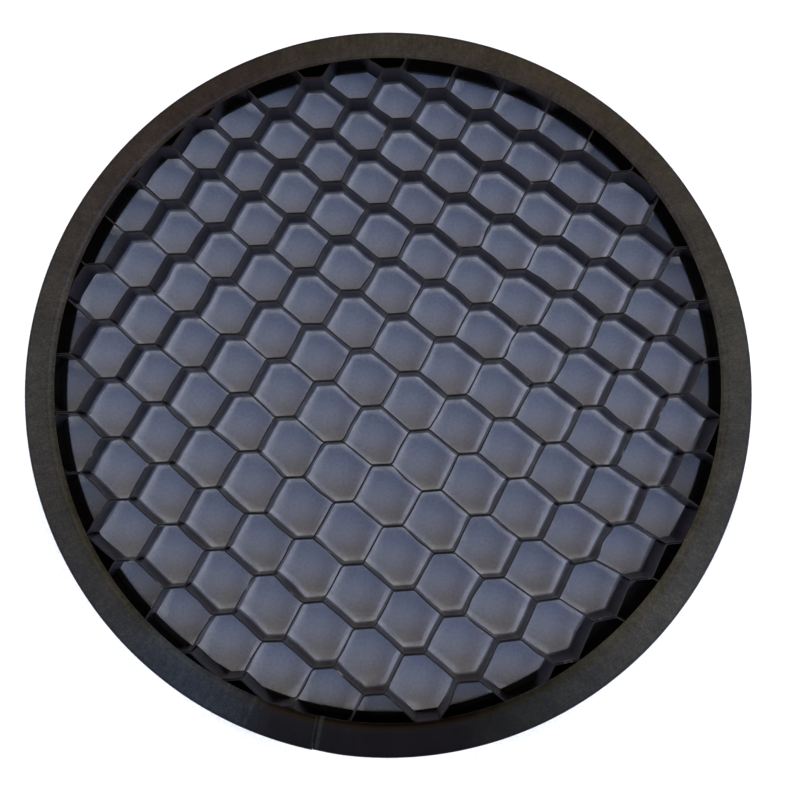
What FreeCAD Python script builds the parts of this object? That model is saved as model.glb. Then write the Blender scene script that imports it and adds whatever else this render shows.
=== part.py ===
# Honeycomb grid for a 7 inch studio reflector: a rolled U-channel rim round an expanded foil core.
# All sizes are in millimetres. The grid lies flat, its axis is Z and its rear flange rests on Z = 0.
import FreeCAD, Part
import Sketcher
import math
import os

doc = FreeCAD.newDocument("honeycomb_grid")

# ---------------------------------------------------------------- driving sizes
sizes = doc.addObject("Spreadsheet::Sheet", "Sizes")
SIZES = [
    ("rim_radius", 85.0, "outside of the rim"),
    ("rim_height", 8.6, "rim from flange face to flange face"),
    ("rim_sheet", 1.0, "sheet of the U-channel"),
    ("flange_width", 6.4, "outside of the rim to the turned-in lip"),
    ("lip_depth", 1.5, "flange face to the edge of its turned-in lip"),
    ("outer_bend", 0.5, "outside radius of the bends between wall and flanges"),
    ("lip_bend", 1.4, "outside radius of the bends between flanges and lips"),
    ("inner_bend", 0.4, "inside radius of every bend"),
    ("seam_gap", 0.15, "butt joint left between the channel ends"),
    ("seam_bearing", 258.8, "direction of the butt joint, anticlockwise from +X"),
    ("core_radius", 82.4, "circle the foil core is cut to"),
    ("core_height", 5.4, "foil core, held with a little play between the two turned-in lips"),
    ("foil", 0.2, "painted foil"),
    ("fold_radius", 1.0, "fold of the foil, at its middle line"),
    ("lay_angle", 7.53, "turn of the ribbons from +X"),
    ("cell_pitch", 20.13, "two cells along a ribbon"),
    ("cell_height", 13.99, "one cell across the ribbons"),
    ("cell_slip", 0.68, "sideways shift of each cell against the one above it"),
    ("bond_length", 4.66, "glued wall shared by two ribbons"),
    ("bond_tilt", -4.4, "glued wall against its ribbon"),
    ("core_shift_along", 4.32, "nearest bond from the centre, along the ribbons"),
    ("core_shift_across", -1.12, "nearest bond from the centre, across the ribbons"),
    ("warp_span", 60.0, "distance from the centre at which the four warps below are given"),
    ("warp_stretch", 0.56, "uneven stretch along the ribbons"),
    ("warp_fan", -1.06, "ribbons stretched less on one side of the core than the other"),
    ("warp_bow", 0.35, "bow of each ribbon"),
    ("warp_spread", -0.28, "uneven spread across the ribbons"),
    ("drag", 4.2, "core dragged round with the rim at one side, measured at the rim"),
    ("squeeze", 1.2, "core squeezed inward at the same side, measured at the rim"),
    ("drag_from", 58.0, "radius inside which the core was neither dragged nor squeezed"),
    ("drag_bearing", -47.0, "middle of the dragged side, anticlockwise from +X"),
    ("drag_spread", 20.0, "degrees to each side over which the drag fades"),
]
for row, (alias, value, note) in enumerate(SIZES, start=1):
    sizes.set("A%d" % row, alias)
    sizes.set("B%d" % row, repr(value))
    sizes.set("C%d" % row, note)
    sizes.setAlias("B%d" % row, alias)
doc.recompute()


def size(alias):
    return float(getattr(sizes, alias))


def origin_plane(body, role):
    return [f for f in body.Origin.OriginFeatures if f.Role == role][0]


def flat_sketch(body, name, role):
    sketch = body.newObject("Sketcher::SketchObject", name)
    sketch.AttachmentSupport = (origin_plane(body, role), [""])
    sketch.MapMode = "FlatFace"
    return sketch


def new_body(name):
    body = doc.addObject("PartDesign::Body", name)
    body.Label = name
    body.AllowCompound = True
    return body


# ---------------------------------------------------------------- rim channel
def closed_outline(sketch, corners):
    """Horizontal and vertical lines joined end to end round the corners."""
    count = len(corners)
    for k in range(count):
        start = FreeCAD.Vector(corners[k][0], corners[k][1], 0)
        end = FreeCAD.Vector(corners[(k + 1) % count][0], corners[(k + 1) % count][1], 0)
        sketch.addGeometry(Part.LineSegment(start, end), False)
        level = abs(start.y - end.y) < abs(start.x - end.x)
        sketch.addConstraint(Sketcher.Constraint("Horizontal" if level else "Vertical", k))
    for k in range(count):
        sketch.addConstraint(Sketcher.Constraint("Coincident", k, 2, (k + 1) % count, 1))


def bind(sketch, kind, place, value, name, rule):
    index = sketch.addConstraint(Sketcher.Constraint(kind, *place, value))
    sketch.renameConstraint(index, name)
    sketch.setExpression("Constraints." + name, rule)


def ring_edges(shape, radius, heights):
    """Names of the circular edges of the given radius at any of the given heights."""
    names = []
    for number, edge in enumerate(shape.Edges, start=1):
        curve = edge.Curve
        if isinstance(curve, Part.Circle) and abs(curve.Radius - radius) < 1e-4:
            if any(abs(curve.Center.z - height) < 1e-4 for height in heights):
                names.append("Edge%d" % number)
    return names


def add_fillet(body, name, base, radius, heights, rule):
    fillet = body.newObject("PartDesign::Fillet", name)
    fillet.Base = (base, ring_edges(base.Shape, radius, heights))
    fillet.setExpression("Radius", rule)
    doc.recompute()
    return fillet


def make_rim():
    body = new_body("rim_channel")
    profile = flat_sketch(body, "channel_profile", "XZ_Plane")
    outside = size("rim_radius")
    sheet = size("rim_sheet")
    flange = size("flange_width")
    depth = size("lip_depth")
    top = size("rim_height")
    web = outside - sheet
    lip = outside - flange
    fold = lip + sheet
    closed_outline(profile, [
        (lip, 0), (outside, 0), (outside, top), (lip, top), (lip, top - depth), (fold, top - depth),
        (fold, top - sheet), (web, top - sheet), (web, sheet), (fold, sheet), (fold, depth), (lip, depth),
    ])
    profile.addConstraint(Sketcher.Constraint("PointOnObject", 0, 1, -1))
    bind(profile, "DistanceX", (-1, 1, 1, 1), outside, "outside", "Sizes.rim_radius")
    bind(profile, "DistanceY", (1, 1, 1, 2), top, "height", "Sizes.rim_height")
    bind(profile, "DistanceX", (7, 1, 1, 1), sheet, "web_sheet", "Sizes.rim_sheet")
    bind(profile, "DistanceX", (0, 1, 0, 2), flange, "rear_flange", "Sizes.flange_width")
    bind(profile, "DistanceY", (0, 1, 8, 2), sheet, "rear_sheet", "Sizes.rim_sheet")
    bind(profile, "DistanceX", (10, 2, 10, 1), sheet, "rear_lip_sheet", "Sizes.rim_sheet")
    bind(profile, "DistanceY", (11, 2, 11, 1), depth, "rear_lip_depth", "Sizes.lip_depth")
    bind(profile, "DistanceX", (2, 2, 2, 1), flange, "front_flange", "Sizes.flange_width")
    bind(profile, "DistanceY", (6, 1, 2, 2), sheet, "front_sheet", "Sizes.rim_sheet")
    bind(profile, "DistanceX", (4, 1, 4, 2), sheet, "front_lip_sheet", "Sizes.rim_sheet")
    bind(profile, "DistanceY", (3, 2, 3, 1), depth, "front_lip_depth", "Sizes.lip_depth")

    roll = body.newObject("PartDesign::Revolution", "channel_roll")
    roll.Profile = profile
    roll.ReferenceAxis = (profile, ["V_Axis"])
    roll.setExpression("Angle", "360 - 180 * Sizes.seam_gap / (pi * Sizes.rim_radius)")
    doc.recompute()

    shelves = (sheet, top - sheet)
    bends = add_fillet(body, "outer_bends", roll, outside, (0, top), "Sizes.outer_bend")
    bends = add_fillet(body, "inner_bends", bends, web, shelves, "Sizes.inner_bend")
    bends = add_fillet(body, "lip_bends", bends, lip, (0, top), "Sizes.lip_bend")
    body.Tip = add_fillet(body, "lip_hollows", bends, fold, shelves, "Sizes.inner_bend")
    body.Placement = FreeCAD.Placement(
        FreeCAD.Vector(0, 0, 0), FreeCAD.Rotation(FreeCAD.Vector(0, 0, 1), size("seam_bearing")))
    body.setExpression(".Placement.Rotation.Angle", "Sizes.seam_bearing")
    return body


# ---------------------------------------------------------------- foil core
# Bond rows are numbered up the core. Ribbon N zigzags between bond row N and bond row N + 1, and
# two ribbons meet face to face on the bond line they share.
def dragged(x, y):
    """A point of the core, moved where the core was dragged and squeezed by the rim."""
    radius = math.hypot(x, y)
    reach = max(0.0, (radius - size("drag_from")) / (size("core_radius") - size("drag_from")))
    if reach == 0:
        return (x, y)
    off = math.degrees(math.atan2(y, x)) - size("drag_bearing")
    share = reach * math.exp(-(off / size("drag_spread")) ** 2)
    around = size("drag") * share / radius
    inward = size("squeeze") * share / radius
    return (x - around * y - inward * x, y + around * x - inward * y)


def core_point(u, v):
    """Place a point of the ideal cell pattern: warp it, turn it to the lay of the ribbons, drag it."""
    p = u / size("warp_span")
    q = v / size("warp_span")
    x = u + size("warp_stretch") * p * p + size("warp_fan") * p * q
    y = v + size("warp_bow") * p * p + size("warp_spread") * q * q
    turn = math.radians(size("lay_angle"))
    return dragged(x * math.cos(turn) - y * math.sin(turn), x * math.sin(turn) + y * math.cos(turn))


def bond_line(row, column):
    """The two ends of one glued wall, left end first."""
    step_along = (size("cell_pitch") + size("cell_slip")) / 2
    u = size("core_shift_along") + column * size("cell_pitch") - row * step_along
    v = size("core_shift_across") + row * size("cell_height") / 2
    tilt = math.radians(size("bond_tilt"))
    half = size("bond_length") / 2
    left = core_point(u - half * math.cos(tilt), v - half * math.sin(tilt))
    right = core_point(u + half * math.cos(tilt), v + half * math.sin(tilt))
    return left, right


def shifted(line, distance):
    """A line moved sideways to its own left by the distance."""
    (x0, y0), (x1, y1) = line
    length = math.hypot(x1 - x0, y1 - y0)
    dx = -(y1 - y0) / length * distance
    dy = (x1 - x0) / length * distance
    return [(x0 + dx, y0 + dy), (x1 + dx, y1 + dy)]


def ribbon_path(row, columns):
    """Middle line of one ribbon: bonds below and above by turns, joined by free walls."""
    half = size("foil") / 2
    path = []
    for column in columns:
        path += shifted(bond_line(row, column), half)
        path += shifted(bond_line(row + 1, column + 1), -half)
    return path


def cut_to_core(path):
    """Runs of the path inside the core circle, each starting and ending on the circle."""
    limit = size("core_radius")
    runs = []
    run = []
    for start, end in zip(path, path[1:]):
        dx, dy = end[0] - start[0], end[1] - start[1]
        a = dx * dx + dy * dy
        b = start[0] * dx + start[1] * dy
        c = start[0] ** 2 + start[1] ** 2 - limit ** 2
        root = b * b - a * c
        if root <= 0:
            continue
        enter = max(0.0, (-b - math.sqrt(root)) / a)
        leave = min(1.0, (-b + math.sqrt(root)) / a)
        if enter >= leave:
            continue
        if not run:
            run = [(start[0] + enter * dx, start[1] + enter * dy)]
        run.append((start[0] + leave * dx, start[1] + leave * dy))
        if leave < 1.0:
            runs.append(run)
            run = []
    return runs


def without_stubs(run):
    """A run without end pieces too short to be folded."""
    shortest = size("fold_radius") + size("foil")
    while len(run) > 1 and math.dist(run[0], run[1]) < shortest:
        run = run[1:]
    while len(run) > 1 and math.dist(run[-1], run[-2]) < shortest:
        run = run[:-1]
    return run


def heading(start, end):
    """Unit direction from start to end, and the unit direction to its left."""
    length = math.dist(start, end)
    dx = (end[0] - start[0]) / length
    dy = (end[1] - start[1]) / length
    return (dx, dy), (-dy, dx)


def along(point, *moves):
    """A point moved by each (direction, distance) in turn."""
    x = point[0] + sum(direction[0] * distance for direction, distance in moves)
    y = point[1] + sum(direction[1] * distance for direction, distance in moves)
    return FreeCAD.Vector(x, y, 0)


def foil_face(run, distance):
    """One face of the foil: the run moved left by the distance, with an arc at each fold."""
    radius = size("fold_radius")
    ahead, left = heading(run[0], run[1])
    start = along(run[0], (left, distance))
    curves = []
    for corner, after in zip(run[1:], run[2:]):
        next_ahead, next_left = heading(corner, after)
        turn = ahead[0] * next_ahead[1] - ahead[1] * next_ahead[0]
        side = math.copysign(1, turn)
        half_turn = math.asin(abs(turn)) / 2
        reach = radius * math.tan(half_turn)
        inward = heading((0, 0), (left[0] + next_left[0], left[1] + next_left[1]))[0]
        to_centre = side * radius / math.cos(half_turn)
        arc_start = along(corner, (ahead, -reach), (left, distance))
        arc_top = along(corner, (inward, to_centre - side * radius + distance))
        arc_end = along(corner, (next_ahead, reach), (next_left, distance))
        curves.append(Part.LineSegment(start, arc_start))
        curves.append(Part.Arc(arc_start, arc_top, arc_end))
        start = arc_end
        ahead, left = next_ahead, next_left
    curves.append(Part.LineSegment(start, along(run[-1], (left, distance))))
    return curves


def foil_outline(run):
    """Outline of the foil round its middle line: its two faces and its two cut ends."""
    half = size("foil") / 2
    faces = foil_face(run, half), foil_face(run, -half)
    starts = [face[0].StartPoint for face in faces]
    ends = [face[-1].EndPoint for face in faces]
    return faces[0] + faces[1] + [Part.LineSegment(*starts), Part.LineSegment(*ends)]


def ribbon_runs(row):
    """The lengths of one ribbon that are long enough to be held by their neighbours."""
    reach = int(2 * size("core_radius") / size("cell_pitch")) + 1
    middle = row // 2
    path = ribbon_path(row, range(middle - reach, middle + reach + 1))
    runs = [without_stubs(run) for run in cut_to_core(path)]
    return [run for run in runs if len(run) > 3]


def make_ribbon(number, runs):
    body = new_body("ribbon_%02d" % number)
    folds = flat_sketch(body, "folds_%02d" % number, "XY_Plane")
    for run in runs:
        folds.addGeometry(foil_outline(run), False)
    strip = body.newObject("PartDesign::Pad", "strip_%02d" % number)
    strip.Profile = folds
    strip.setExpression("Length", "Sizes.core_height")
    body.Tip = strip
    body.setExpression(".Placement.Base.z", "(Sizes.rim_height - Sizes.core_height) / 2")
    return body


rim = make_rim()
parts = [rim]
rows = int(2 * size("core_radius") / size("cell_height")) + 2
number = 0
for row in range(-rows, rows + 1):
    runs = ribbon_runs(row)
    if runs:
        number += 1
        parts.append(make_ribbon(number, runs))
doc.recompute()

# ---------------------------------------------------------------- check and write
for item in doc.Objects:
    if any(state in ("Invalid", "Error") for state in item.State):
        raise RuntimeError("%s did not compute" % item.Label)

os.makedirs("parts", exist_ok=True)
for part in parts:
    shape = part.Shape
    if shape.isNull() or not shape.isValid():
        raise RuntimeError("%s has no valid shape" % part.Label)
    shape.exportStep("parts/%s.step" % part.Label)
    print("%-12s solids %2d volume %9.1f" % (part.Label, len(shape.Solids), shape.Volume))
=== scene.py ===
"""Looks for the honeycomb grid: rolled black rim, folded foil core, pale floor and soft light.

The grid lies flat on Z = 0. Its own sizes are in millimetres, and its meshes are made in metres.
"""
import math
import random

import bmesh
import bpy
from mathutils import Matrix, Vector, noise
from mathutils.geometry import tessellate_polygon


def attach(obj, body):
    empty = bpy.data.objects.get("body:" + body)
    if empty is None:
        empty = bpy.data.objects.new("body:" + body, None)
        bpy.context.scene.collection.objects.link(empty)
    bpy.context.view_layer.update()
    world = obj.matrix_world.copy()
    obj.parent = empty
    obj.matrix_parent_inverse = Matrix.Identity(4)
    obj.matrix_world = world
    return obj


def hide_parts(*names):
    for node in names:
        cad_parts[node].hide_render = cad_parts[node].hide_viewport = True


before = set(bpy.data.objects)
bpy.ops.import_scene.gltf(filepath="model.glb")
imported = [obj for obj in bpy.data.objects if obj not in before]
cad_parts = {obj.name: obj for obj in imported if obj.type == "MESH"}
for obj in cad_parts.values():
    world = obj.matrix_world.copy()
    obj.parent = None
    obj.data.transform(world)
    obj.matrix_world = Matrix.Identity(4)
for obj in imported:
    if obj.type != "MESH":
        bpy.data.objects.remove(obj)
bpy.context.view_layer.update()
MM = 0.001

# ------------------------------------------------------------------ sizes, in millimetres
RIM_RADIUS = 85.0
RIM_HEIGHT = 8.6
SHEET = 1.0
FLANGE = 6.4
LIP_DEPTH = 1.5
LIP_BEND = 1.4
OUTER_BEND = 0.5
INNER_BEND = 0.4
SEAM_GAP = 0.07
SEAM_BEARING = 258.8

CORE_RADIUS = 82.4
CORE_HEIGHT = 5.4
FOIL = 0.2
LAY_ANGLE = 7.53
CELL_PITCH = 20.13
CELL_HEIGHT = 13.99
CELL_SLIP = 0.68
BOND_LENGTH = 4.66
BOND_TILT = -4.4
CORE_SHIFT = (4.32, -1.12)
WARP_SPAN = 60.0
WARP_STRETCH = 0.56
WARP_FAN = -1.06
WARP_BOW = 0.35
WARP_SPREAD = -0.28

CORE_FLOOR = (RIM_HEIGHT - CORE_HEIGHT) / 2
CORE_TOP = CORE_FLOOR + CORE_HEIGHT
# paint gathers on the cut edges of the foil
EDGE_BEAD = 0.08
# round one bearing the walls by the rim lean, their feet pushed inward: how far, from which radius,
# and which bearing
PUSH = 1.7
PUSH_FROM = 66.0
PUSH_BEARING = -36.0
# near there the core is also dragged round with the rim and squeezed inward: how far at the rim, from
# which radius, round which bearing, and over about how many degrees to each side of it
DRAG = 4.2
SQUEEZE = 1.2
DRAG_FROM = 58.0
DRAG_BEARING = -47.0
DRAG_SPREAD = 20.0
# clear of the rear lip, the foot of each wall hangs a little below the lip's edge
CORE_FOOT = 0.8
FOOT_RADII = (74.5, 77.0)
# painted reflection of the lit floor: between these heights the walls turn lighter down to this colour at
# their foot, though not over the rear lip, which lies in the rim's shade
PAINTED_FOOT_REFLECTION_HEIGHTS = (0.6, 2.7)
PAINTED_FOOT_REFLECTION = (0.36, 0.38, 0.43)
# lumps of paint hanging on the upper edge: place and radius, how uneven they are and how finely
PAINT_BLOBS = [(Vector((4.6, -29.4)), 0.42), (Vector((-8.6, -73.5)), 0.3)]
BLOB_UNEVEN = 0.35
BLOB_GRAIN = 4.0

# how far the glued walls are out of true, as standard deviations: millimetres, and degrees
BOND_DRIFT = 0.12
BOND_TWIST = 1.2
# and how far the walls between them bow and lean; walls shorter than this stay straight
WALL_BOW = 0.10
WALL_LEAN = 0.08
STRAIGHT_WALL = 5.6
# half the gap between two ribbons where they are glued
GLUE_HALF = 0.005
# range of the radius of a fold, and how many steps it is made in
FOLD_RADII = (0.7, 1.5)
FOLD_STEPS = 5
# length of a step along a wall, shortest piece kept at the end of a run, and fewest points of a run
WALL_STEP = 0.8
SHORTEST_END = 1.2
FEWEST_POINTS = 4
# faces from the foot of a wall to its top
WALL_LEVELS = 6

# how the finished rim differs from a true ring
OVAL = 0.0107
FRONT_DRIFT = Vector((-0.21, 0.23))
REAR_DRIFT = Vector((-0.23, 0.87))
SEAM_SINK = 0.10
SINK_SPREAD = 3.0
# slow ripple of the flange: height, and how many ripples to a radius
RIPPLE = 0.03
RIPPLE_GRAIN = 6.0
# sections of the rim in one turn, and faces across its flange
RIM_STEPS = 900
FLANGE_FACES = 8
# how far the rear lip is bent inward where it squeezes the core
REAR_DENT = 2.2

# ------------------------------------------------------------------ light
# Soft patches of sky: (bearing, elevation) in degrees, reach in degrees from full light to none,
# colour and strength.
SKY_PATCHES = [
    ((335, 38), 42, (0.40, 0.56, 1.0), 1.08),
    ((65, 38), 42, (1.0, 0.77, 0.42), 0.34),
    ((20, 38), 42, (0.95, 0.95, 1.0), 0.22),
    ((155, 38), 42, (1.0, 0.62, 0.30), 0.25),
    ((205, 38), 42, (0.04, 0.26, 1.0), 0.48),
    ((180, 62), 42, (0.70, 0.80, 1.0), 0.38),
    ((0, 62), 42, (1.0, 0.95, 1.0), 0.16),
    ((270, 12), 42, (1.0, 0.74, 0.46), 0.27),
]
# Rings of lamps: how many, elevation and spread in degrees, strength. The low ring lifts the floor
# beside the grid to white, the upper one reaches under the walls of the core.
LAMP_RINGS = [
    (8, 15, 16, 2.45),
    (8, 31, 6, 0.25),
]
# Size of the floor and radius of the pale dome beyond it in metres, and the tone of the dome.
FLOOR_SIZE = 6.0
BACKDROP_RADIUS = 2.6
BACKDROP_COLOUR = (0.80, 0.81, 0.83)

# ------------------------------------------------------------------ camera
# Lens and sensor in millimetres, place and near clip in metres, turn in degrees about X, Y and Z.
LENS = 28.9
SENSOR_WIDTH = 36.0
NEAR_CLIP = 0.005
CAMERA_PLACE = (0.00145, -0.0273, 0.15484)
CAMERA_TURN = (7.67, -0.37, 0.0)


# ------------------------------------------------------------------ mesh helpers
# Edges sharper than these angles, in degrees, stay crisp.
RIM_CREASE = 40
FOIL_CREASE = 50


def new_piece(name, verts, faces, materials, face_slots=None):
    """New object from points in millimetres."""
    mesh = bpy.data.meshes.new(name)
    mesh.from_pydata([Vector(v) * MM for v in verts], [], faces)
    for material in materials:
        mesh.materials.append(material)
    if face_slots:
        mesh.polygons.foreach_set("material_index", face_slots)
    mesh.validate()
    mesh.update()
    obj = bpy.data.objects.new(name, mesh)
    bpy.context.collection.objects.link(obj)
    return obj


def shade_smooth(obj, angle):
    """Smooth shading with sharp edges where two faces meet at more than the angle."""
    bm = bmesh.new()
    bm.from_mesh(obj.data)
    bmesh.ops.recalc_face_normals(bm, faces=bm.faces)
    for face in bm.faces:
        face.smooth = True
    for edge in bm.edges:
        if len(edge.link_faces) == 2:
            edge.smooth = edge.calc_face_angle(0) < math.radians(angle)
    bm.to_mesh(obj.data)
    bm.free()


# ------------------------------------------------------------------ node helpers
def new_material(name):
    """New material, with its nodes, its links and its shader."""
    material = bpy.data.materials.new(name)
    material.use_nodes = True
    nodes = material.node_tree.nodes
    return material, nodes, material.node_tree.links, nodes["Principled BSDF"]


def add(nodes, kind, **settings):
    """New node. A setting that starts with in_ goes to the input of that name or number."""
    node = nodes.new(kind)
    for key, value in settings.items():
        if key.startswith("in_"):
            name = key[3:].replace("_", " ")
            socket = node.inputs[int(name)] if name.isdigit() else node.inputs[name]
            socket.default_value = value
        else:
            setattr(node, key, value)
    return node


def ramp(nodes, stops):
    """Colour ramp with the given stops, each a position and a colour."""
    node = add(nodes, "ShaderNodeValToRGB")
    elements = node.color_ramp.elements
    while len(elements) > 1:
        elements.remove(elements[-1])
    for k, (position, colour) in enumerate(stops):
        element = elements[0] if k == 0 else elements.new(position)
        element.position = position
        element.color = (*colour, 1.0)
    return node


def grey(value):
    return (value, value, value)


def map_range(nodes, links, value, source, target, **settings):
    """The value carried over from the source range, a pair, to the target range, and held inside it."""
    node = add(nodes, "ShaderNodeMapRange", **settings)
    node.inputs["From Min"].default_value = source[0]
    node.inputs["From Max"].default_value = source[1]
    node.inputs["To Min"].default_value = target[0]
    node.inputs["To Max"].default_value = target[1]
    links.new(value, node.inputs["Value"])
    return node.outputs["Result"]


def noise_tone(nodes, links, vector, scale, detail, roughness=0.5):
    """Value of a noise texture at the vector."""
    node = add(nodes, "ShaderNodeTexNoise", in_Scale=scale, in_Detail=detail, in_Roughness=roughness)
    links.new(vector, node.inputs["Vector"])
    return node.outputs["Fac"]


def tones_of(nodes, links, value, stops):
    """Colour ramp over a value."""
    node = ramp(nodes, stops)
    links.new(value, node.inputs["Fac"])
    return node.outputs["Color"]


def times(nodes, links, first, second):
    """Two colours multiplied."""
    product = add(nodes, "ShaderNodeMix", data_type="RGBA", blend_type="MULTIPLY")
    product.inputs["Factor"].default_value = 1.0
    links.new(first, product.inputs[6])
    links.new(second, product.inputs[7])
    return product.outputs[2]


def blend(nodes, links, factor, first, second):
    """A colour that goes over to a fixed second colour with the factor."""
    node = add(nodes, "ShaderNodeMix", data_type="RGBA")
    links.new(factor, node.inputs["Factor"])
    links.new(first, node.inputs[6])
    node.inputs[7].default_value = (*second, 1.0)
    return node.outputs[2]


def length_of(nodes, links, vector, scale):
    """Length of the vector after its parts are scaled."""
    scaled = add(nodes, "ShaderNodeVectorMath", operation="MULTIPLY")
    scaled.inputs[1].default_value = scale
    links.new(vector, scaled.inputs[0])
    node = add(nodes, "ShaderNodeVectorMath", operation="LENGTH")
    links.new(scaled.outputs["Vector"], node.inputs[0])
    return node.outputs["Value"]


def bumped(nodes, links, shader, height, strength, distance):
    """Bump of the given strength and distance, in metres, on the shader."""
    bump = add(nodes, "ShaderNodeBump", in_Strength=strength, in_Distance=distance)
    links.new(height, bump.inputs["Height"])
    links.new(bump.outputs["Normal"], shader.inputs["Normal"])


# ------------------------------------------------------------------ materials
# Tone of the enamel by bearing, in degrees from -180 to 180: partly its own uneven tone, partly painted
# reflection and painted shade.
RIM_TONES_AND_PAINTED_LIGHT = [
    (-180, (0.0135, 0.0125, 0.0100)),
    (-156, (0.0100, 0.0085, 0.0055)),
    (-138, (0.0100, 0.0090, 0.0068)),
    (-124, (0.0100, 0.0120, 0.0155)),
    (-116, (0.0080, 0.0090, 0.0110)),
    (-108, (0.0020, 0.0012, 0.0008)),
    (-80, (0.0012, 0.0004, 0.0002)),
    (-72, (0.0035, 0.0032, 0.0020)),
    (-60, (0.0090, 0.0086, 0.0070)),
    (-42, (0.0190, 0.0175, 0.0135)),
    (-33, (0.0180, 0.0165, 0.0130)),
    (-26, (0.0135, 0.0120, 0.0085)),
    (0, (0.0150, 0.0140, 0.0105)),
    (45, (0.0125, 0.0095, 0.0068)),
    (90, (0.0145, 0.0118, 0.0092)),
    (120, (0.0092, 0.0063, 0.0048)),
    (150, (0.0125, 0.0094, 0.0076)),
    (180, (0.0135, 0.0125, 0.0100)),
]
# Painted shade on the outer bend of the enamel: its width in millimetres, and the share of the tone left at
# its end.
PAINTED_SHADE_EDGE = 0.9
PAINTED_SHADE_EDGE_TONE = 0.15
# Pale rubbed streaks across the rim: degrees past the seam, half width in degrees, how pale.
RIM_STREAKS = [(0.55, 0.45, 0.22), (-10.5, 0.30, 0.16), (-0.25, 0.2, 0.12)]
STREAK_COLOUR = (0.026, 0.034, 0.033)
# Brush marks: how many to a turn, and how many to a metre across the rim.
BRUSH_MARKS = (420.0, 260.0)
# Painted shade: the paper falls off to this share of its tone towards -Y, fully so from this Y in
# millimetres on.
FLOOR_SHADE = 0.93
FLOOR_SHADE_REACH = -40.0


def round_the_rim(nodes, links, coord):
    """How far round the axis a point is, from 0 at -180 degrees to 1 at 180."""
    angle = add(nodes, "ShaderNodeTexGradient", gradient_type="RADIAL")
    links.new(coord, angle.inputs["Vector"])
    return angle.outputs["Fac"]


def streaked(nodes, links, angle, colour):
    """The colour with the pale streaks painted over it."""
    for past_seam, half_width, strength in RIM_STREAKS:
        middle = (SEAM_BEARING - 180 + past_seam) / 360
        off = add(nodes, "ShaderNodeMath", operation="SUBTRACT", in_1=middle)
        links.new(angle, off.inputs[0])
        away = add(nodes, "ShaderNodeMath", operation="ABSOLUTE")
        links.new(off.outputs[0], away.inputs[0])
        strip = map_range(nodes, links, away.outputs[0], (0.0, half_width / 360), (strength, 0.0))
        colour = blend(nodes, links, strip, colour, STREAK_COLOUR)
    return colour


def brushed(nodes, links, coord, angle):
    """Faint marks that run across the rim, as lighter and darker tones."""
    spread = add(nodes, "ShaderNodeCombineXYZ")
    links.new(angle, spread.inputs["X"])
    links.new(length_of(nodes, links, coord, (1.0, 1.0, 1.0)), spread.inputs["Y"])
    stretch = add(nodes, "ShaderNodeMapping")
    stretch.inputs["Scale"].default_value = (*BRUSH_MARKS, 1.0)
    links.new(spread.outputs["Vector"], stretch.inputs["Vector"])
    marks = noise_tone(nodes, links, stretch.outputs["Vector"], 1.0, 3.0, 0.6)
    return tones_of(nodes, links, marks, [(0.36, grey(0.86)), (0.50, grey(1.0)), (0.64, grey(1.16))])


def rim_paint():
    """Satin black enamel: uneven tone with painted reflection and shade by bearing, speckle, clouds, brush
    marks, streaks and painted shade on the outer bend.
    """
    material, nodes, links, shader = new_material("rim_paint")
    shader.inputs["Specular IOR Level"].default_value = 0.42
    coord = add(nodes, "ShaderNodeTexCoord").outputs["Object"]
    angle = round_the_rim(nodes, links, coord)
    # the tones round the ring hold painted reflection and painted shade as well as the enamel's own tone
    stops = [((bearing + 180) / 360, tone) for bearing, tone in RIM_TONES_AND_PAINTED_LIGHT]
    colour = streaked(nodes, links, angle, tones_of(nodes, links, angle, stops))

    grain = noise_tone(nodes, links, coord, 2300.0, 4.0, 0.7)
    speck = tones_of(nodes, links, grain, [(0.38, grey(0.70)), (0.50, grey(1.0)), (0.62, grey(1.45))])
    colour = times(nodes, links, colour, speck)
    clouds = noise_tone(nodes, links, coord, 140.0, 6.0, 0.65)
    patches = tones_of(nodes, links, clouds, [(0.36, grey(0.80)), (0.50, grey(1.0)), (0.66, grey(1.25))])
    colour = times(nodes, links, colour, patches)
    colour = times(nodes, links, colour, brushed(nodes, links, coord, angle))

    # painted shade: the enamel darkens over its outer bend
    radius = length_of(nodes, links, coord, (1 / (1 - OVAL), 1.0, 0.0))
    edge = map_range(nodes, links, radius, ((RIM_RADIUS - PAINTED_SHADE_EDGE) * MM, RIM_RADIUS * MM),
                     (1.0, PAINTED_SHADE_EDGE_TONE))
    links.new(times(nodes, links, colour, edge), shader.inputs["Base Color"])
    rough = map_range(nodes, links, clouds, (0.3, 0.7), (0.30, 0.42))
    links.new(rough, shader.inputs["Roughness"])
    bumped(nodes, links, shader, noise_tone(nodes, links, coord, 2600.0, 3.0), 0.5, 0.00005)
    return material


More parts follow.
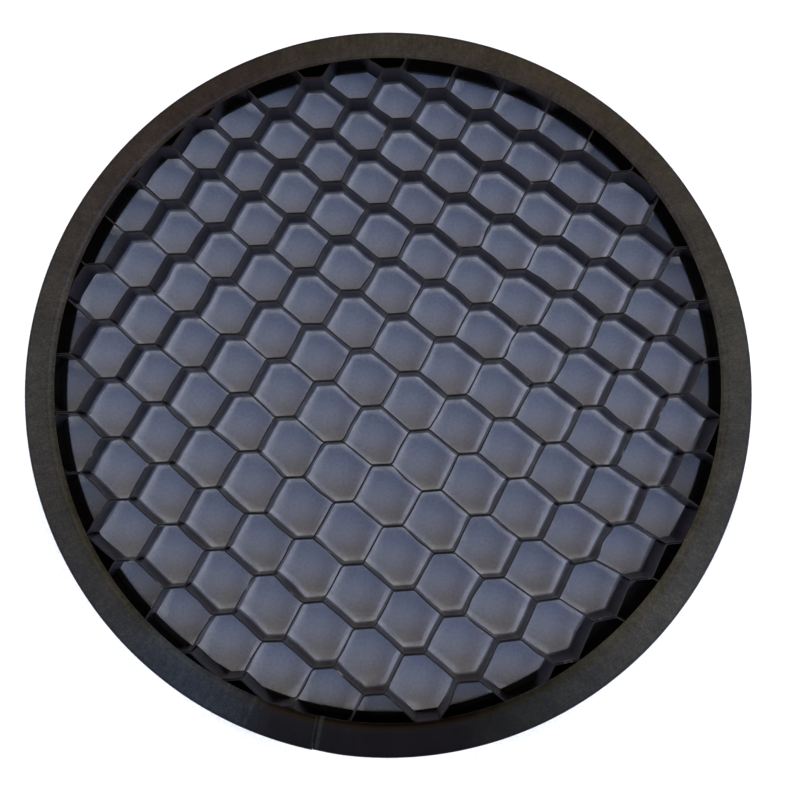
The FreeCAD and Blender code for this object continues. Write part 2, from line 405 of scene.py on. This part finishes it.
def foil_paint():
    """Semi-gloss black on soft rippled foil, with a painted reflection of the lit floor that lightens the
    foot of the walls.
    """
    material, nodes, links, shader = new_material("foil_paint")
    shader.inputs["Specular IOR Level"].default_value = 0.3
    coord = add(nodes, "ShaderNodeTexCoord").outputs["Object"]
    tone = noise_tone(nodes, links, coord, 160.0, 5.0)
    paint = tones_of(nodes, links, tone, [(0.3, (0.0035, 0.0028, 0.0040)), (0.7, (0.0065, 0.0052, 0.0075))])

    # painted reflection: the foot of each wall is lightened, except by the rim, where the walls stand in
    # shade
    place = add(nodes, "ShaderNodeSeparateXYZ")
    links.new(coord, place.inputs["Vector"])
    low = map_range(nodes, links, place.outputs["Z"], [height * MM for height in PAINTED_FOOT_REFLECTION_HEIGHTS], (1.0, 0.0),
                    interpolation_type="SMOOTHSTEP")
    radius = length_of(nodes, links, coord, (1.0, 1.0, 0.0))
    inside = map_range(nodes, links, radius, [reach * MM for reach in FOOT_RADII], (1.0, 0.0))
    foot_reflection = add(nodes, "ShaderNodeMath", operation="MULTIPLY")
    links.new(low, foot_reflection.inputs[0])
    links.new(inside, foot_reflection.inputs[1])
    links.new(blend(nodes, links, foot_reflection.outputs["Value"], paint, PAINTED_FOOT_REFLECTION), shader.inputs["Base Color"])

    rough = map_range(nodes, links, tone, (0.3, 0.7), (0.24, 0.34))
    links.new(rough, shader.inputs["Roughness"])
    squeeze = add(nodes, "ShaderNodeMapping")
    squeeze.inputs["Scale"].default_value = (1.0, 1.0, 0.25)
    links.new(coord, squeeze.inputs["Vector"])
    ripple = noise_tone(nodes, links, squeeze.outputs["Vector"], 900.0, 2.0)
    bumped(nodes, links, shader, ripple, 0.35, 0.00006)
    return material


def cut_edge():
    """The cut edge of the foil: black over most of its length, with a few bare nicks."""
    material, nodes, links, shader = new_material("foil_cut_edge")
    coord = add(nodes, "ShaderNodeTexCoord").outputs["Object"]
    tone = noise_tone(nodes, links, coord, 420.0, 4.0)
    colour = tones_of(nodes, links, tone, [(0.30, (0.004, 0.0035, 0.003)), (0.64, (0.008, 0.007, 0.006)),
                                           (0.78, (0.10, 0.09, 0.085))])
    links.new(colour, shader.inputs["Base Color"])
    shader.inputs["Roughness"].default_value = 0.45
    return material


def floor_paper():
    """Pale paper with a fine grain, and painted shade that makes it a little darker toward -Y."""
    material, nodes, links, shader = new_material("floor_paper")
    coord = add(nodes, "ShaderNodeTexCoord").outputs["Object"]
    grain = noise_tone(nodes, links, coord, 1300.0, 5.0, 0.7)
    colour = tones_of(nodes, links, grain, [(0.3, (0.67, 0.68, 0.72)), (0.5, (0.79, 0.80, 0.84)),
                                            (0.7, (0.89, 0.90, 0.94))])
    place = add(nodes, "ShaderNodeSeparateXYZ")
    links.new(coord, place.inputs["Vector"])
    shade = map_range(nodes, links, place.outputs["Y"], (FLOOR_SHADE_REACH * MM, 0.0), (FLOOR_SHADE, 1.0),
                      interpolation_type="SMOOTHSTEP")
    links.new(times(nodes, links, colour, shade), shader.inputs["Base Color"])
    shader.inputs["Roughness"].default_value = 0.6
    shader.inputs["Specular IOR Level"].default_value = 0.2
    return material


def backdrop_paper():
    """An even pale tone that takes no part in the light."""
    material, nodes, links, shader = new_material("backdrop_paper")
    shader.inputs["Base Color"].default_value = (0.0, 0.0, 0.0, 1.0)
    shader.inputs["Emission Color"].default_value = (*BACKDROP_COLOUR, 1.0)
    shader.inputs["Emission Strength"].default_value = 1.0
    material.cycles.emission_sampling = "NONE"
    return material


# ------------------------------------------------------------------ rim
def arc_points(centre, radius, start, end, count):
    """Points on an arc in the profile plane, angles in degrees."""
    points = []
    for k in range(count + 1):
        a = math.radians(start + (end - start) * k / count)
        points.append((centre[0] + radius * math.cos(a), centre[1] + radius * math.sin(a)))
    return points


def channel_profile():
    """Closed outline of the channel section as (radius, height); its two halves mirror each other."""
    lip = RIM_RADIUS - FLANGE
    web = RIM_RADIUS - SHEET
    top = RIM_HEIGHT
    shelf = top - SHEET
    tip = top - LIP_DEPTH
    inner_lip_bend = LIP_BEND - SHEET
    flat = RIM_RADIUS - OUTER_BEND - (lip + LIP_BEND)
    half = [(web, top / 2)]
    half += arc_points((web - INNER_BEND, shelf - INNER_BEND), INNER_BEND, 0, 90, 4)
    half += arc_points((lip + LIP_BEND, top - LIP_BEND), inner_lip_bend, 90, 180, 4)
    half += [(lip + SHEET, tip), (lip, tip)]
    half += arc_points((lip + LIP_BEND, top - LIP_BEND), LIP_BEND, 180, 90, 14)
    half += [(lip + LIP_BEND + flat * k / FLANGE_FACES, top) for k in range(1, FLANGE_FACES)]
    half += arc_points((RIM_RADIUS - OUTER_BEND, top - OUTER_BEND), OUTER_BEND, 90, 0, 7)
    half += [(RIM_RADIUS, top / 2)]
    mirrored = [(radius, top - height) for radius, height in reversed(half[1:-1])]
    return half + mirrored


def squeezed(bearing):
    """How strongly the rim bears on the core at a bearing in degrees, from 0 to 1."""
    off = (bearing - DRAG_BEARING + 180) % 360 - 180
    return math.exp(-(off / DRAG_SPREAD) ** 2)


def rolled(radius, height, bearing):
    """A point of the ring as it came off the rolls: a little oval, lips off centre, one end sunk."""
    out = Vector((math.cos(bearing), math.sin(bearing)))
    rise = height / RIM_HEIGHT
    near_lip = (RIM_RADIUS - radius) / FLANGE
    drift = FRONT_DRIFT * rise + REAR_DRIFT * (1 - rise)
    dent = REAR_DENT * (1 - rise) * squeezed(math.degrees(bearing))
    reach = radius * (1 - OVAL * out.x ** 2) + near_lip * (drift.dot(out) - dent)
    past_seam = (math.degrees(bearing) - SEAM_BEARING) % 360
    sink = SEAM_SINK * math.exp(-(past_seam / SINK_SPREAD) ** 2)
    ripple = RIPPLE * noise.noise(Vector((*(out * RIPPLE_GRAIN), 0.3))) - RIPPLE
    return (out.x * (reach - sink), out.y * (reach - sink), height + rise * (ripple - sink))


def make_rim(material):
    """The channel section carried round from one end of the seam to the other, and capped there."""
    profile = channel_profile()
    gap = math.degrees(SEAM_GAP / RIM_RADIUS)
    verts = []
    for k in range(RIM_STEPS + 1):
        bearing = math.radians(SEAM_BEARING + gap / 2 + (360 - gap) * k / RIM_STEPS)
        verts += [rolled(radius, height, bearing) for radius, height in profile]
    count = len(profile)
    faces = []
    for k in range(RIM_STEPS):
        for j in range(count):
            here, there = k * count + j, k * count + (j + 1) % count
            faces.append((here, there, there + count, here + count))
    triangles = tessellate_polygon([[Vector((r, z, 0)) for r, z in profile]])
    last = RIM_STEPS * count
    faces += [tuple(t) for t in triangles]
    faces += [tuple(last + i for i in reversed(t)) for t in triangles]
    rim = new_piece("rim", verts, faces, [material])
    shade_smooth(rim, RIM_CREASE)
    return rim


# ------------------------------------------------------------------ foil core
def bearing_of(spot):
    """Bearing of a point in degrees, anticlockwise from +X."""
    return math.degrees(math.atan2(spot.y, spot.x))


def dragged(spot):
    """A point of the core, moved round with the rim where the core was dragged by it."""
    reach = max(0.0, (spot.length - DRAG_FROM) / (CORE_RADIUS - DRAG_FROM))
    outward = spot.normalized()
    around = Vector((-outward.y, outward.x))
    return spot + (around * DRAG - outward * SQUEEZE) * reach * squeezed(bearing_of(spot))


def core_point(along, across):
    """Place a point of the ideal cell pattern: warp it, then turn it to the lay of the ribbons."""
    u, v = along / WARP_SPAN, across / WARP_SPAN
    x = along + WARP_STRETCH * u * u + WARP_FAN * u * v
    y = across + WARP_BOW * u * u + WARP_SPREAD * v * v
    return dragged(Matrix.Rotation(math.radians(LAY_ANGLE), 2) @ Vector((x, y)))


def bond_line(row, column):
    """The two ends of one glued wall, left end first, each bond a little out of true."""
    draw = random.Random(1000 * row + column)
    along = CORE_SHIFT[0] + column * CELL_PITCH - row * (CELL_PITCH + CELL_SLIP) / 2
    across = CORE_SHIFT[1] + row * CELL_HEIGHT / 2
    along += draw.gauss(0, BOND_DRIFT)
    across += draw.gauss(0, BOND_DRIFT)
    tilt = math.radians(BOND_TILT + draw.gauss(0, BOND_TWIST))
    half = BOND_LENGTH / 2 * Vector((math.cos(tilt), math.sin(tilt)))
    middle = Vector((along, across))
    return core_point(*(middle - half)), core_point(*(middle + half))


def beside(line, distance):
    """The line moved to its left by the distance."""
    ahead = (line[1] - line[0]).normalized()
    left = Vector((-ahead.y, ahead.x)) * distance
    return [line[0] + left, line[1] + left]


def ribbon_path(row):
    """Corners of one ribbon, which runs by turns along the bonds of its own row and of the next."""
    reach = int(2 * CORE_RADIUS / CELL_PITCH) + 1
    half = FOIL / 2 + GLUE_HALF
    path = []
    for column in range(row // 2 - reach, row // 2 + reach + 1):
        path += beside(bond_line(row, column), half)
        path += beside(bond_line(row + 1, column + 1), -half)
    return path


def cut_to_core(path):
    """Runs of the path inside the core circle."""
    runs, run = [], []
    for start, end in zip(path, path[1:]):
        step = end - start
        a, b, c = step.dot(step), start.dot(step), start.dot(start) - CORE_RADIUS ** 2
        root = b * b - a * c
        if root <= 0:
            continue
        enter = max(0.0, (-b - math.sqrt(root)) / a)
        leave = min(1.0, (-b + math.sqrt(root)) / a)
        if enter >= leave:
            continue
        if not run:
            run = [start + step * enter]
        run.append(start + step * leave)
        if leave < 1.0:
            runs.append(run)
            run = []
    return runs


def without_stubs(run):
    """The run without very short pieces at its ends."""
    while len(run) > 1 and (run[1] - run[0]).length < SHORTEST_END:
        run = run[1:]
    while len(run) > 1 and (run[-1] - run[-2]).length < SHORTEST_END:
        run = run[:-1]
    return run


def folded(run, draw):
    """Stations along the foil: (point, left, bow weight, wall), with rounded folds and divided walls."""
    stations = []
    ahead = (run[1] - run[0]).normalized()
    left = Vector((-ahead.y, ahead.x))
    start = run[0]
    for k in range(1, len(run)):
        corner = run[k]
        if k < len(run) - 1:
            next_ahead = (run[k + 1] - corner).normalized()
            next_left = Vector((-next_ahead.y, next_ahead.x))
            turn = ahead.cross(next_ahead)
            half_turn = math.asin(abs(turn)) / 2
            radius = draw.uniform(*FOLD_RADII)
            reach = radius * math.tan(half_turn)
        else:
            reach = 0.0
        end = corner - ahead * reach
        wall = (end - start).length
        pieces = max(2, round(wall / WALL_STEP))
        for i in range(pieces + 1):
            u = i / pieces
            stations.append((start + (end - start) * u, left.copy(), math.sin(math.pi * u) ** 2, k))
        if k < len(run) - 1:
            side = math.copysign(1, turn)
            centre = end + left * side * radius
            for i in range(1, FOLD_STEPS):
                spun = Matrix.Rotation(side * 2 * half_turn * i / FOLD_STEPS, 2)
                stations.append((centre - spun @ left * side * radius, spun @ left, 0.0, k))
            start = corner + next_ahead * reach
            ahead, left = next_ahead, next_left
    return stations


def eased(share):
    """The share held between 0 and 1, with a soft start and end."""
    share = min(1.0, max(0.0, share))
    return share * share * (3 - 2 * share)


def pushed_over(spot):
    """How far the foot of a wall by the rim stands inside its top edge."""
    reach = (spot.length - PUSH_FROM) / (CORE_RADIUS - PUSH_FROM)
    off = math.radians(bearing_of(spot) - PUSH_BEARING)
    return PUSH * eased(reach) * max(0.0, math.cos(off)) ** 4


def foot_height(spot):
    """Height of the lower edge of the foil, lifted where it lies on the rear lip."""
    reach = spot.length + REAR_DENT * squeezed(bearing_of(spot))
    near = (reach - FOOT_RADII[0]) / (FOOT_RADII[1] - FOOT_RADII[0])
    return CORE_FOOT + (CORE_FLOOR - CORE_FOOT) * eased(near)


def add_blob(verts, faces, slots, centre, radius):
    """A lump of paint on the upper edge of the foil, added to the lists of a ribbon's mesh."""
    ball = bmesh.new()
    bmesh.ops.create_icosphere(ball, subdivisions=2, radius=radius)
    base = len(verts)
    for vert in ball.verts:
        lump = 1 + BLOB_UNEVEN * noise.noise(vert.co * BLOB_GRAIN / radius)
        verts.append(tuple(centre + vert.co * lump))
    faces += [tuple(base + vert.index for vert in face.verts) for face in ball.faces]
    slots += [1] * len(ball.faces)
    ball.free()


def station_points(point, left, bow, lean):
    """Points of one station of the foil: up its left side, then up its right side."""
    points = []
    for side in (1, -1):
        for level in range(WALL_LEVELS + 1):
            rise = level / WALL_LEVELS
            half = FOIL / 2 + (EDGE_BEAD if level in (0, WALL_LEVELS) else 0.0)
            spot = point + left * (side * half + bow + lean * (2 * rise - 1))
            spot = spot - spot.normalized() * pushed_over(spot) * (1 - rise)
            foot = foot_height(spot)
            points.append((spot.x, spot.y, foot + (CORE_TOP - foot) * rise))
    return points


def foil_faces(base, count):
    """Faces of a length of foil with that many stations, from the point at base on, and their slots."""
    faces, slots = [], []
    side = WALL_LEVELS + 1
    ring = 2 * side
    for k in range(count - 1):
        a, b = base + k * ring, base + (k + 1) * ring
        for level in range(WALL_LEVELS):
            low, high = level, level + 1
            faces.append((a + low, b + low, b + high, a + high))
            faces.append((b + side + low, a + side + low, a + side + high, b + side + high))
        faces.append((a + WALL_LEVELS, b + WALL_LEVELS, b + ring - 1, a + ring - 1))
        faces.append((b, a, a + side, b + side))
        slots += [0] * (2 * WALL_LEVELS) + [1, 1]
    for k in (0, count - 1):
        a = base + k * ring
        for level in range(WALL_LEVELS):
            faces.append((a + level, a + level + 1, a + side + level + 1, a + side + level))
        slots += [1] * WALL_LEVELS
    return faces, slots


def make_ribbon(number, runs, materials):
    """One ribbon of foil, made of its runs, and the lumps of paint that hang on it."""
    draw = random.Random(number)
    verts, faces, slots = [], [], []
    for run in runs:
        stations = folded(run, draw)
        bends = [(draw.gauss(0, WALL_BOW), draw.gauss(0, WALL_LEAN)) for _ in range(len(run) + 1)]
        for spot, radius in PAINT_BLOBS:
            nearest = min((point for point, *_ in stations), key=lambda point: (point - spot).length)
            if (nearest - spot).length < 2 * radius:
                add_blob(verts, faces, slots, Vector((*nearest, CORE_TOP - radius)), radius)
        new_faces, new_slots = foil_faces(len(verts), len(stations))
        faces += new_faces
        slots += new_slots
        for point, left, weight, wall in stations:
            straight = (run[wall] - run[wall - 1]).length < STRAIGHT_WALL
            bow, lean = (0.0, 0.0) if straight else bends[wall]
            verts += station_points(point, left, weight * bow, weight * lean)
    ribbon = new_piece("foil_%02d" % number, verts, faces, materials, slots)
    shade_smooth(ribbon, FOIL_CREASE)
    return ribbon


# ------------------------------------------------------------------ build
rim = make_rim(rim_paint())
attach(rim, "root")
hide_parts("rim_channel")

foil_materials = [foil_paint(), cut_edge()]
rows = int(2 * CORE_RADIUS / CELL_HEIGHT) + 2
number = 0
for row in range(-rows, rows + 1):
    runs = [without_stubs(run) for run in cut_to_core(ribbon_path(row))]
    runs = [run for run in runs if len(run) >= FEWEST_POINTS]
    if runs:
        number += 1
        ribbon = make_ribbon(number, runs, foil_materials)
        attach(ribbon, "root")
        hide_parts("ribbon_%02d" % number)

# ------------------------------------------------------------------ floor, light, camera
def plain_floor():
    """A wide sheet of pale paper on Z = 0."""
    bpy.ops.mesh.primitive_plane_add(size=FLOOR_SIZE, location=(0, 0, 0))
    sheet = bpy.context.object
    sheet.name = "floor"
    sheet.data.materials.append(floor_paper())
    return sheet


def plain_backdrop():
    """A pale dome that closes the view beyond the floor. It only shows: it neither lights nor shades."""
    bpy.ops.mesh.primitive_ico_sphere_add(subdivisions=4, radius=BACKDROP_RADIUS)
    dome = bpy.context.object
    dome.name = "backdrop"
    dome.data.materials.append(backdrop_paper())
    dome.visible_diffuse = False
    dome.visible_glossy = False
    dome.visible_transmission = False
    dome.visible_volume_scatter = False
    dome.visible_shadow = False
    return dome


def toward(bearing, elevation):
    """Unit vector toward a bearing (anticlockwise from +X) and an elevation, in degrees."""
    turn, rise = math.radians(bearing), math.radians(elevation)
    return Vector((math.cos(rise) * math.cos(turn), math.cos(rise) * math.sin(turn), math.sin(rise)))


def studio_sky():
    """A dark room with a few large soft lights, each a smooth patch of the sky."""
    world = bpy.data.worlds.new("studio")
    world.use_nodes = True
    bpy.context.scene.world = world
    nodes, links = world.node_tree.nodes, world.node_tree.links
    nodes.clear()
    coord = add(nodes, "ShaderNodeTexCoord")
    total = None
    for place, reach, colour, strength in SKY_PATCHES:
        dot = add(nodes, "ShaderNodeVectorMath", operation="DOT_PRODUCT")
        links.new(coord.outputs["Generated"], dot.inputs[0])
        dot.inputs[1].default_value = toward(*place)
        patch = map_range(nodes, links, dot.outputs["Value"], (math.cos(math.radians(reach)), 1.0),
                          (0.0, strength), interpolation_type="SMOOTHSTEP")
        light = add(nodes, "ShaderNodeBackground", in_Color=(*colour, 1.0))
        links.new(patch, light.inputs["Strength"])
        if total is None:
            total = light
        else:
            both = add(nodes, "ShaderNodeAddShader")
            links.new(total.outputs[0], both.inputs[0])
            links.new(light.outputs[0], both.inputs[1])
            total = both
    out = add(nodes, "ShaderNodeOutputWorld")
    links.new(total.outputs[0], out.inputs["Surface"])


def lamp_rings():
    """Soft lamps all round the grid, which light surfaces but leave no highlights on them."""
    for count, elevation, spread, strength in LAMP_RINGS:
        for k in range(count):
            data = bpy.data.lights.new("lamp_%d_%d" % (elevation, k + 1), "SUN")
            data.energy = strength
            data.angle = math.radians(spread)
            lamp = bpy.data.objects.new(data.name, data)
            lamp.rotation_euler = toward(360 * k / count, elevation).to_track_quat("Z", "Y").to_euler()
            lamp.visible_glossy = False
            bpy.context.collection.objects.link(lamp)


def overhead_camera():
    """A camera close above the grid, tilted a little."""
    data = bpy.data.cameras.new("camera")
    data.sensor_width = SENSOR_WIDTH
    data.lens = LENS
    data.clip_start = NEAR_CLIP
    camera = bpy.data.objects.new("camera", data)
    camera.location = CAMERA_PLACE
    camera.rotation_euler = [math.radians(angle) for angle in CAMERA_TURN]
    bpy.context.collection.objects.link(camera)
    return camera


floor = plain_floor()
plain_backdrop()
studio_sky()
lamp_rings()
bpy.context.scene.camera = overhead_camera()
bpy.context.scene.view_settings.view_transform = "Standard"
